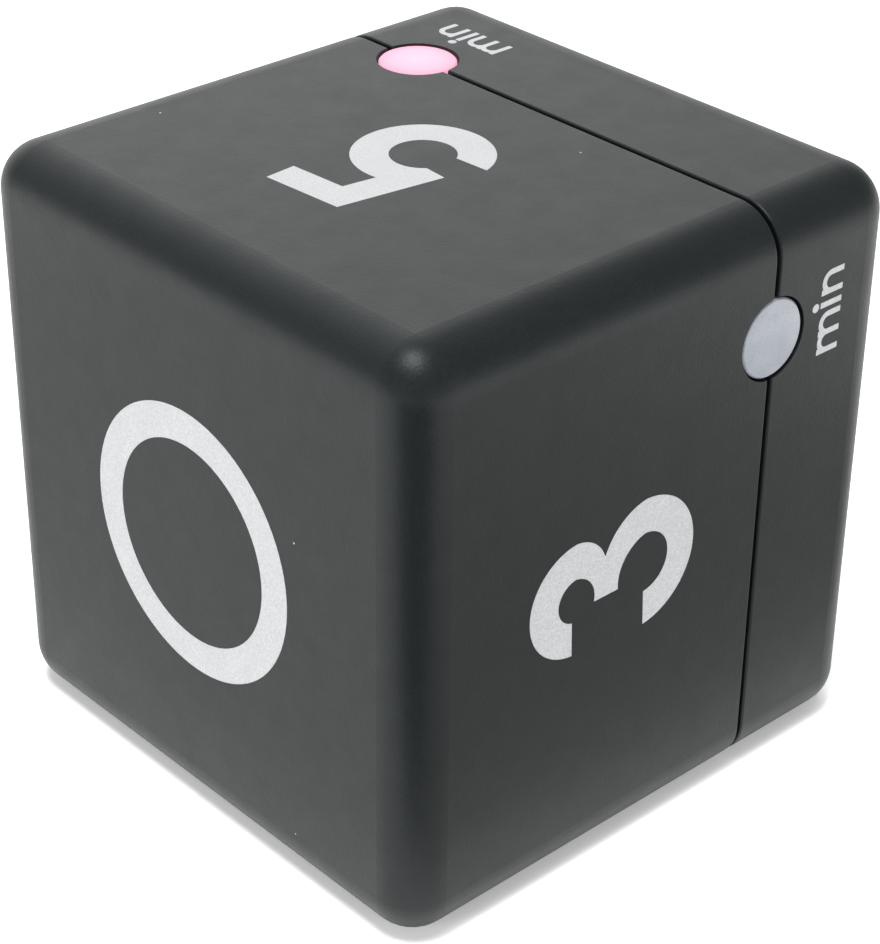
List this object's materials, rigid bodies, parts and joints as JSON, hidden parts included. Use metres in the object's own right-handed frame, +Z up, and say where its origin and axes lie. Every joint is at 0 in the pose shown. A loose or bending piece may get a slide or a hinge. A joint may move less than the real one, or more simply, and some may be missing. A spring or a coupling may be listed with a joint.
{
  "type": "kitchen timer",
  "caption": "Cube kitchen timer: turn the wanted number of minutes up to start it; a light on that face shows it is running.",
  "frame": {"origin": "centre of the face that the cube stands on", "axes": "+Z up through the lit 5 face, -X out of the 0 face, +X out of the battery cap, -Y out of the 3 face"},
  "size_m": [0.0636, 0.0636, 0.0635],
  "materials": {
    "case_plastic": "fine moulded grain, satin",
    "silver_ink": "pad-printed metallic ink, satin",
    "milky_lens": "milky moulded polycarbonate",
    "lit_lens": "milky moulded polycarbonate, lit from behind in pink",
    "led_epoxy": "clear cast epoxy",
    "lit_led": "clear cast epoxy, lit",
    "zinc_steel": "zinc-plated",
    "tinned_steel": "tinned",
    "bearing_steel": "polished",
    "nickel_contacts": "nickel-plated",
    "gold_pins": "gold-plated",
    "board_laminate": "glass-epoxy laminate under green solder mask",
    "black_moulding": "moulded",
    "black_epoxy": "poured and moulded epoxy",
    "crystal_can": "drawn, satin",
    "capacitor_sleeve": "shrunk sleeve",
    "ferrite": "sintered",
    "copper_winding": "enamelled copper wire",
    "cell_jacket": "plain printed jacket",
    "buzzer_brass": "rolled",
    "buzzer_ceramic": "silvered ceramic",
    "red_insulation": "extruded vinyl",
    "black_insulation": "extruded vinyl"
  },
  "bodies": {
    "case": {"board_screws": "zinc_steel", "boost_coil": "ferrite", "bridge_contact": "nickel_contacts", "bridge_spring": "nickel_contacts", "buzzer_ceramic": "buzzer_ceramic", "buzzer_disc": "buzzer_brass", "buzzer_lead_black": "black_insulation", "buzzer_lead_red": "red_insulation", "capacitor": "capacitor_sleeve", "case_screws": "zinc_steel", "cell_front": "cell_jacket", "cell_rear": "cell_jacket", "chip_resistors": "black_epoxy", "circuit_board": "board_laminate", "coil_winding": "copper_winding", "crystal": "crystal_can", "end_cap": "case_plastic", "led_five": "lit_led", "led_leads": "tinned_steel", "led_one": "led_epoxy", "led_ten": "led_epoxy", "led_three": "led_epoxy", "light_cap_five": "lit_lens", "light_cap_one": "milky_lens", "light_cap_ten": "milky_lens", "light_cap_three": "milky_lens", "main_shell": "case_plastic", "negative_contact": "nickel_contacts", "negative_spring": "nickel_contacts", "numeral_five": "silver_ink", "numeral_one": "silver_ink", "numeral_ten": "silver_ink", "numeral_three": "silver_ink", "numeral_zero": "silver_ink", "positive_contact": "nickel_contacts", "tilt_contacts": "gold_pins", "tilt_lid": "black_moulding", "tilt_race": "black_moulding", "timer_chip": "black_epoxy", "transistor": "black_epoxy", "unit_labels": "silver_ink"},
    "ball": {"tilt_ball": "bearing_steel"},
    "door": {"battery_door": "case_plastic"}
  },
  "joints": [
    {"name": "ball_roll", "type": "hinge", "parent": "case", "child": "ball", "pos_m": [0, 0, 0.03175], "axis": [1, 0, 0], "continuous": true},
    {"name": "door_lift", "type": "slide", "parent": "case", "child": "door", "axis": [1, 0, 0], "range_m": [0, 0.024]}
  ]
}
